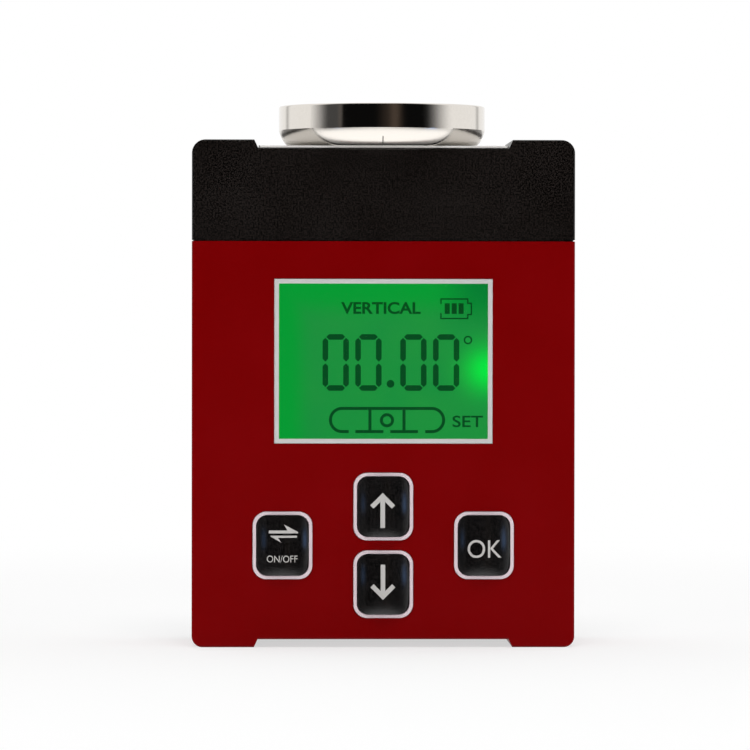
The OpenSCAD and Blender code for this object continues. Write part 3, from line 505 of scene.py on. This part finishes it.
# Arrows are drawn down from their tips, with barbs at 45 degrees
ARROW_LINE = 0.92
ARROW_LENGTH = 7.05
BARB = 2.17
UP_TIP, DOWN_TIP = (-0.16, 2.81), (-0.1, -3.05)
apex = ARROW_LINE / np.sqrt(2)
shaft = np.array([(0, -ARROW_LENGTH), (0, -2 * apex)])
barbs = np.array([(-BARB, -apex - BARB), (0, -apex), (BARB, -apex - BARB)])
legend("up", [band(shaft + UP_TIP, ARROW_LINE), band(barbs + UP_TIP, ARROW_LINE)])
legend("down", [band(shaft * (1, -1) + DOWN_TIP, ARROW_LINE),
                band(barbs[::-1] * (1, -1) + DOWN_TIP, ARROW_LINE)])
legend("ok", [word("OK", -3.33, 3.48, -2.43, 1.17)])

# The first key's sign is two half arrows, the upper one larger
legend("on_off", [
    prism([(-2.75, 2.48), (3.13, 2.48), (3.13, 2.75), (0.3, 4.26), (1.0, 3.06), (-2.75, 3.06)]),
    prism([(2.91, 2.02), (-2.41, 2.02), (-2.41, 1.85), (-0.32, 0.69), (-0.9, 1.61), (2.91, 1.61)]),
    word("ON/OFF", -3.13, 3.01, -3.35, -1.97)])

# ---- Switches and circuit board ---------------------------------------------------------
# Four push switches in nylon stand on a fibreglass board under green solder mask. The
# rear face carries the controller, the inclination sensor and small ceramic parts.

nylon_black = moulded("nylon_black_switch", "#141414", "#1c1c1c", 0.3 * MM, 0.004 * MM, (0.45, 0.55))
nylon_white = moulded("nylon_white_plunger", "#cfccc6", "#d8d5cf", 0.3 * MM, 0.004 * MM, (0.4, 0.5))
dress(nylon_black, "switch_bodies")
dress(nylon_white, "plunger_on_off", "plunger_up", "plunger_down", "plunger_ok")
solder_mask = moulded("fibreglass_green_solder_mask", "#06381a", "#0a4a22", 0.5 * MM, 0.006 * MM,
                      (0.25, 0.35), flow=3 * MM)
dress(solder_mask, "main_board")
epoxy_black = moulded("epoxy_black_chip", "#161616", "#202020", 0.2 * MM, 0.004 * MM, (0.5, 0.6))
dress(epoxy_black, "controller_chip")
sensor_grey = moulded("ceramic_grey_sensor", "#5b5d60", "#696b6e", 0.3 * MM, 0.003 * MM, (0.35, 0.45))
dress(sensor_grey, "tilt_sensor")
ceramic_tan = moulded("ceramic_tan_parts", "#8d7a5c", "#9c8868", 0.2 * MM, 0.003 * MM, (0.35, 0.45))
dress(ceramic_tan, "chip_parts")

# ---- Plated steel -------------------------------------------------------------------------
# Screws, contacts, springs and the anchor plate are steel with a thin plating. Barrel
# plating leaves small changes of gloss and fine scuffs.

SCUFF_DEPTH = 0.002 * MM


def plated(name, dark, light, grain, gloss):
    """A plated metal: its grain changes the colour, the roughness and, a little, the relief."""
    made = new_material(name)
    scuff = noise(made, add(made, "TexCoord").outputs["Object"], grain, 4.0)
    return skin(made, {
        "Base Color": blend(made, scuff, dark, light), "Metallic": 1.0,
        "Roughness": ramp(made, scuff, 0.3, 0.7, *gloss),
        "Normal": relief(made, scuff, SCUFF_DEPTH)})


zinc = plated("steel_zinc_plated", "#a9abad", "#bfc1c3", 0.6 * MM, (0.28, 0.42))
dress(zinc, "board_screws", "head_screws", "magnet_screw", "anchor_nut", "anchor_plate")
contact_nickel = plated("steel_nickel_contact", "#bcb9b4", "#cfccc6", 0.8 * MM, (0.2, 0.3))
dress(contact_nickel, "contact_positive", "contact_negative", "contact_link", "contact_springs")
blackened = plated("steel_blackened", "#1c1c1d", "#2b2b2c", 0.5 * MM, (0.35, 0.5))
dress(blackened, "case_screws")

# ---- Cells and leads -----------------------------------------------------------------------
# Two AAA cells in plain printed jackets, with a band at the positive end, and two leads
# in soft insulation.

CELL_BAND = 9 * MM
CELL_NUB = 1.5 * MM
CELL_TAIL = 0.7 * MM
PVC_IOR = 1.53


def cell_jacket(name, node, way):
    """Jacket of a cell along X: gold round the positive end, graphite on the rest, steel ends.

    way is 1 where the cell runs towards greater X from its positive end, and -1 where it
    runs towards smaller X.
    """
    low, high = (corner[0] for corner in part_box(node))
    made = new_material(name)
    place = add(made, "TexCoord").outputs["Object"]
    x = add(made, "SeparateXYZ", {"Vector": place}).outputs["X"]
    start = low if way > 0 else high
    run = calc(made, "MULTIPLY", calc(made, "SUBTRACT", x, start), way)
    steel = calc(made, "MAXIMUM", calc(made, "LESS_THAN", run, CELL_NUB),
                 calc(made, "GREATER_THAN", run, high - low - CELL_TAIL))
    jacket = blend(made, calc(made, "LESS_THAN", run, CELL_BAND), "#2b2c30", "#b07a2c")
    skin(made, {
        "Base Color": blend(made, steel, jacket, "#c4c4c2"), "Metallic": steel, "IOR": 1.5,
        "Roughness": ramp(made, noise(made, place, 2 * MM, 4.0), 0.3, 0.7, 0.22, 0.34)})
    dress(made, node)


cell_jacket("jacket_upper_cell", "cell_upper", 1)
cell_jacket("jacket_lower_cell", "cell_lower", -1)
red_pvc = moulded("pvc_red_insulation", "#a30d0d", "#b01212", 0.5 * MM, 0.003 * MM, (0.35, 0.45),
                  ior=PVC_IOR)
black_pvc = moulded("pvc_black_insulation", "#101010", "#181818", 0.5 * MM, 0.003 * MM, (0.35, 0.45),
                    ior=PVC_IOR)
dress(red_pvc, "lead_positive")
dress(black_pvc, "lead_negative")

# ---- Pot magnet ---------------------------------------------------------------------------
# A drawn steel cup with a ring magnet glued inside, bright nickel plated. Its wall was
# turned before plating and is a mirror; the drawn rounding below, which meets it at a
# faint crease, is duller. A short line is cut across the rounding at the front.

CUP_R = 21 * MM
CUP_EDGE_W, CUP_EDGE_H = 2.9 * MM, 3.5 * MM
CUP_CREASE = 26
CUP_INNER_R = 18.5 * MM
CUP_FLOOR = 3.2 * MM
CUP_BORE_R = 2.6 * MM
CUP_SINK_R = 5.1 * MM
RIM_R = 0.35 * MM
DRAWN_DULL = 0.14
CUP_Z, CUP_TOP = (corner[2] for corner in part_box("magnet_cup"))


def bright_nickel():
    """Mirror plating: waves a few millimetres long bend the reflections, pores dull them a little.

    Below the crease the roughness is DRAWN_DULL higher.
    """
    made = new_material("nickel_bright_plated")
    place = add(made, "TexCoord").outputs["Object"]
    z = add(made, "SeparateXYZ", {"Vector": place}).outputs["Z"]
    crease_z = CUP_Z + CUP_EDGE_H
    drawn = fade(made, z, crease_z, crease_z - 0.2 * MM, 0, DRAWN_DULL)
    stretch = add(made, "Mapping", {"Vector": place, "Scale": (1.0, 1.0, 0.35)})
    wave = noise(made, stretch.outputs["Vector"], 2.5 * MM, 1.0)
    pore = noise(made, place, 0.45 * MM, 3.0)
    height = calc(made, "ADD", wave, calc(made, "MULTIPLY", pore, 0.08))
    return skin(made, {
        "Base Color": blend(made, pore, "#ded8d0", "#e7e2db"), "Metallic": 1.0,
        "Normal": relief(made, height, 0.012 * MM),
        "Roughness": calc(made, "ADD", ramp(made, pore, 0.35, 0.7, 0.05, 0.11), drawn)})


def rounding(start, end, steps, out=0.0):
    """Points of the cup's lower rounding, part of an ellipse: inner + a cos t, base + b (1 - sin t).

    a and b are such that at t = CUP_CREASE degrees it meets the wall, CUP_EDGE_W out and
    CUP_EDGE_H up from where it leaves the base. out moves the points away from the metal.
    """
    t = np.radians(np.linspace(start, end, steps))
    a = CUP_EDGE_W / np.cos(np.radians(CUP_CREASE))
    b = CUP_EDGE_H / (1 - np.sin(np.radians(CUP_CREASE)))
    return np.column_stack([CUP_R - CUP_EDGE_W + (a + out) * np.cos(t),
                            CUP_Z + b - (b + out) * np.sin(t)])


def turned(profile, steps):
    """A closed loop of radius and height turned about Z: (r cos, r sin, z) at even steps."""
    radius, height = np.asarray(profile, float).T[:, :, None]
    angle = np.linspace(0, 2 * np.pi, steps, endpoint=False)
    points = np.stack([radius * np.cos(angle), radius * np.sin(angle), height + 0 * angle], -1)
    return points.reshape(-1, 3), lattice(len(profile), steps, True, True)


cup_profile = np.vstack([
    [(CUP_BORE_R, CUP_Z)], rounding(90, CUP_CREASE, 40),
    arc((CUP_R - RIM_R, CUP_TOP - RIM_R), RIM_R, 0, 90, 10),
    arc((CUP_INNER_R + RIM_R, CUP_TOP - RIM_R), RIM_R, 90, 180, 10),
    [(CUP_INNER_R, CUP_Z + CUP_FLOOR), (CUP_SINK_R, CUP_Z + CUP_FLOOR),
     (CUP_BORE_R, CUP_Z + CUP_FLOOR - (CUP_SINK_R - CUP_BORE_R))]])
cup = new_piece("pot_cup", [turned(cup_profile, 256)], bright_nickel(), "case", crease=12)
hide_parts("magnet_cup")
ring_nickel = plated("nickel_satin_ring_magnet", "#9c9a97", "#b3b1ad", 0.5 * MM, (0.25, 0.38))
dress(ring_nickel, "ring_magnet")

# The seat is a thin white plate that fills the recess between the feet, with a hole for
# the magnet's screw
SEAT_HALF_X, SEAT_HALF_Y = 25.1 * MM, 15.5 * MM
SEAT_Z, SEAT_TOP = (corner[2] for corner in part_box("magnet_seat"))


def holed_plate(half_x, half_y, bore, low, high, steps=256):
    """A flat plate with a round hole: a circle of the corners' reach, clipped to the sides.

    The hole and that outline are joined above and below by flat faces.
    """
    angle = np.linspace(0, 2 * np.pi, steps, endpoint=False)
    way = np.column_stack([np.cos(angle), np.sin(angle)])
    outline = np.clip(np.hypot(half_x, half_y) * way, (-half_x, -half_y), (half_x, half_y))
    loops = ((bore * way, low), (outline, low), (outline, high), (bore * way, high))
    points = np.vstack([np.column_stack([loop, np.full(steps, z)]) for loop, z in loops])
    return points, lattice(len(loops), steps, True, True)


# The seat's white is lighter than the bezel's: painted light, so that the plate shows brighter in the
# magnet's shade and in its mirror.
seat_abs_lightened = moulded("abs_white_seat_painted_light", "#e4e2de", "#ebe9e6", 0.4 * MM, 0.002 * MM, (0.30, 0.36))
seat = new_piece("seat_plate", [holed_plate(SEAT_HALF_X, SEAT_HALF_Y, CUP_BORE_R, SEAT_Z, SEAT_TOP)],
                 seat_abs_lightened, "case", crease=30)
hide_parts("magnet_seat")

# The index line is a scribed groove, filled with dark lacquer
INDEX_X, INDEX_W = -0.26 * MM, 0.2 * MM
INDEX_ARC = (74, 46, 16)
lie = rounding(*INDEX_ARC, out=0.01 * MM)
sink = rounding(*INDEX_ARC, out=-0.05 * MM)
left, right = INDEX_X - INDEX_W / 2, INDEX_X + INDEX_W / 2
groove = np.stack([np.column_stack([np.full(len(line), x), -line[:, 0], line[:, 1]])
                   for x, line in ((left, lie), (right, lie), (right, sink), (left, sink))], 1)
lacquer = moulded("lacquer_dark_index", "#1a1512", "#241d18", 0.3 * MM, 0.002 * MM, (0.4, 0.5))
new_piece("index_line", [bar(groove)], lacquer, "case")

# ---- Studio --------------------------------------------------------------------------------
# A white table in a white room. In front of the gauge hangs a dome of black cloth, lighter
# towards its sides and its foot and open above, so that the magnet and the keys mirror a
# dark middle between bright ends. Lamps that mirrors don't show light the front evenly.

world = bpy.data.worlds.new("white_room")
bpy.context.scene.world = world
world.use_nodes = True
world.node_tree.nodes.clear()
room = add(world, "Background", {"Color": (1.0, 1.0, 1.0, 1.0), "Strength": 1.0})
add(world, "OutputWorld", {"Surface": room.outputs["Background"]})


def sheet(name, points, material):
    """A stage surface from a grid of points, rows by columns."""
    mesh = bpy.data.meshes.new(name)
    mesh.from_pydata(points.reshape(-1, 3).tolist(), [], lattice(*points.shape[:2]))
    mesh.shade_smooth()
    mesh.materials.append(material)
    made = bpy.data.objects.new(name, mesh)
    bpy.context.scene.collection.objects.link(made)
    return made


# The table is white laminate. For the camera and for mirrors most of its light is its own,
# so that it meets the white room without an edge, and the rest, less from NEAR to FAR,
# keeps the gauge's shadow. Mirrors see only its part behind MIRROR_EDGE, and the dome past it.
TABLE_FRONT, TABLE_BACK, TABLE_SIDE = -0.42, 3.0, 3.0
MIRROR_EDGE = -0.025
OWN_SHARE = 0.6
NEAR, FAR = 0.12, 0.45
table_white = new_material("laminate_white_table")
ray = add(table_white, "LightPath").outputs
spot = add(table_white, "TexCoord").outputs["Object"]
y = add(table_white, "SeparateXYZ", {"Vector": spot}).outputs["Y"]
distance = add(table_white, "VectorMath", {0: spot}, operation="LENGTH").outputs["Value"]
seen = calc(table_white, "MAXIMUM", ray["Is Camera Ray"], ray["Is Transmission Ray"])
seen = calc(table_white, "MAXIMUM", seen, ray["Is Glossy Ray"])
share = calc(table_white, "MULTIPLY", seen, fade(table_white, distance, NEAR, FAR, OWN_SHARE, 1.0))
matt = add(table_white, "BsdfDiffuse", {"Color": linear("#f7f7f7")})
own = add(table_white, "Emission", {"Color": (1.0, 1.0, 1.0, 1.0), "Strength": 1.0})
both = add(table_white, "MixShader", {"Fac": share, 1: matt.outputs["BSDF"],
                                      2: own.outputs["Emission"]})
past = calc(table_white, "MULTIPLY", ray["Is Glossy Ray"],
            calc(table_white, "LESS_THAN", y, MIRROR_EDGE))
gone = add(table_white, "BsdfTransparent")
top = add(table_white, "MixShader", {"Fac": past, 1: both.outputs["Shader"], 2: gone.outputs["BSDF"]})
add(table_white, "OutputMaterial", {"Surface": top.outputs["Shader"]})
grid_x, grid_y = np.meshgrid((-TABLE_SIDE, TABLE_SIDE), (TABLE_FRONT, TABLE_BACK))
sheet("table", np.stack([grid_x, grid_y, np.zeros_like(grid_x)], -1), table_white)

# Dome: azimuth 0 is towards the camera and grows to the right, in degrees
DOME_R = 3.0
DOME_AZIMUTH, DOME_LOW, DOME_HIGH = 88, -88, 72
CLOTH = 0.004
BRIGHTEST = 1.4
# Light that the cloth gains, and the degrees from the middle between which it gains it
TO_LEFT = ((0.066, 44, 48), (0.93, 62, 94))
TO_RIGHT = ((0.03, 44, 54), (0.97, 49, 86))
TO_FOOT = ((1.4, 21, 28),)
# Warm gleams: light, azimuth and half width
GLEAMS = ((0.026, -48.5, 2.5), (0.055, 13, 6.5), (0.013, 2, 6))
WARM = (1.3, 0.95, 0.72)


def step(value, start, end):
    """Smooth step 3 t^2 - 2 t^3 of value between start and end."""
    t = np.clip((value - start) / (end - start), 0, 1)
    return t * t * (3 - 2 * t)


def gleam(value, middle, width):
    """Bell exp(-(distance / width)^2) about a middle."""
    return np.exp(-((value - middle) / width) ** 2)


cloth = new_material("cloth_black_dome")
tone = add(cloth, "Attribute", attribute_name="glow", attribute_type="GEOMETRY")
light = add(cloth, "Emission", {"Color": tone.outputs["Color"], "Strength": 1.0})
add(cloth, "OutputMaterial", {"Surface": light.outputs["Emission"]})


def glowing(grey, tint=0, colour=(0, 0, 0)):
    """RGBA of grey + tint * colour at each point."""
    return np.stack([*(grey + part * tint for part in colour), np.ones_like(grey)], -1)


def hang(name, radius, azimuth, height, glow):
    """Cloth on a sphere over a grid of azimuth and height, with a colour at each point."""
    turn, rise = np.radians(azimuth), np.radians(height)
    made = sheet(name, radius * np.stack([np.cos(rise) * np.sin(turn), -np.cos(rise) * np.cos(turn),
                                          np.sin(rise)], -1), cloth)
    shade = made.data.attributes.new("glow", "FLOAT_COLOR", "POINT")
    shade.data.foreach_set("color", glow.ravel())
    made.visible_camera = False
    return made


azimuth, height = np.meshgrid(np.linspace(-DOME_AZIMUTH, DOME_AZIMUTH, 353),
                              np.linspace(DOME_LOW, DOME_HIGH, 161))
grey = np.full_like(azimuth, CLOTH)
for away, gains in ((-azimuth, TO_LEFT), (azimuth, TO_RIGHT), (-height, TO_FOOT)):
    for gain, start, end in gains:
        grey += gain * step(away, start, end)
warm = sum(gain * gleam(azimuth, middle, width) for gain, middle, width in GLEAMS)
hang("dome", DOME_R, azimuth, height, np.clip(glowing(grey, warm, WARM), 0, BRIGHTEST))

# A grey post on each side behind the gauge draws a soft line near the magnet's edges
POST, POST_HALF, POST_W, POST_DIP = 133, 9, 4, 0.42
for name, side in (("post_left", -1), ("post_right", 1)):
    azimuth, height = np.meshgrid(side * (POST + np.linspace(-POST_HALF, POST_HALF, 37)),
                                  (-1, 12, 25))
    grey = 1 - POST_DIP * gleam(azimuth, side * POST, POST_W)
    hang(name, DOME_R, azimuth, height, glowing(grey))

# A low blue card on each side near the gauge lights the keys' flanks. The magnet stands too
# high to mirror it. Only mirrors see it, and it casts no shadow.
CARD_R, CARD_HALF, CARD_W = 0.25, 8, 5
CARD_LOW, CARD_MIDDLE, CARD_HIGH, CARD_H = 1, 5, 13, 8
BLUE = (0.3, 0.6, 1.25)
for name, middle, dark, bright in (("card_left", -50, 0.06, 0.75), ("card_right", 55, 0.2, 1.7)):
    azimuth, height = np.meshgrid(middle + np.linspace(-CARD_HALF, CARD_HALF, 33),
                                  np.linspace(CARD_LOW, CARD_HIGH, 25))
    sky = bright * gleam(azimuth, middle, CARD_W) * gleam(height, CARD_MIDDLE, CARD_H)
    card = hang(name, CARD_R, azimuth, height, glowing(np.full_like(sky, dark), sky, BLUE))
    card.visible_shadow = card.visible_diffuse = False

LAMP_DISTANCE = 1.1
AIM = np.array([0, 0, 0.055])


def softbox(name, azimuth, height, size, power):
    """A square lamp that points at the gauge's middle from an azimuth and a height in degrees."""
    lamp = bpy.data.lights.new(name, "AREA")
    lamp.shape, lamp.size, lamp.energy = "SQUARE", size, power
    made = bpy.data.objects.new(name, lamp)
    bpy.context.scene.collection.objects.link(made)
    turn, rise = np.radians(azimuth), np.radians(height)
    away = np.array([np.cos(rise) * np.sin(turn), -np.cos(rise) * np.cos(turn), np.sin(rise)])
    side = np.cross([0, 0, 1], away)
    side /= np.linalg.norm(side)
    spin = Matrix(np.column_stack([side, np.cross(away, side), away]).tolist()).to_4x4()
    made.matrix_world = Matrix.Translation(AIM + away * LAMP_DISTANCE) @ spin
    made.visible_glossy = made.visible_transmission = False


softbox("lamp_left", -50, 6, 0.3, 3.3)
softbox("lamp_right", 50, 6, 0.3, 3.3)
softbox("lamp_above", 0, 64, 0.4, 4.5)

# Camera: long lens about a metre in front, a little left of the middle
CAMERA_PLACE = np.array([-24.76, -984.53, 68.5]) * MM
CAMERA_PITCH, CAMERA_YAW, CAMERA_ROLL = 0.0142, -0.0238, -0.0013
LENS_MM, FILM_MM = 231.56, 36.0
pitch = Matrix.Rotation(-CAMERA_PITCH, 3, "X")
yaw = Matrix.Rotation(CAMERA_YAW, 3, "Z")
roll = Matrix.Rotation(CAMERA_ROLL, 3, "Y")
right, ahead, up = ((yaw @ pitch @ roll).col[i] for i in range(3))
facing = Matrix((right, up, -ahead)).transposed().to_4x4()
camera_data = bpy.data.cameras.new("camera")
camera_data.lens, camera_data.sensor_width = LENS_MM, FILM_MM
camera = bpy.data.objects.new("camera", camera_data)
bpy.context.scene.collection.objects.link(camera)
camera.matrix_world = Matrix.Translation(CAMERA_PLACE) @ facing
bpy.context.scene.camera = camera
bpy.context.scene.view_settings.view_transform = "Standard"
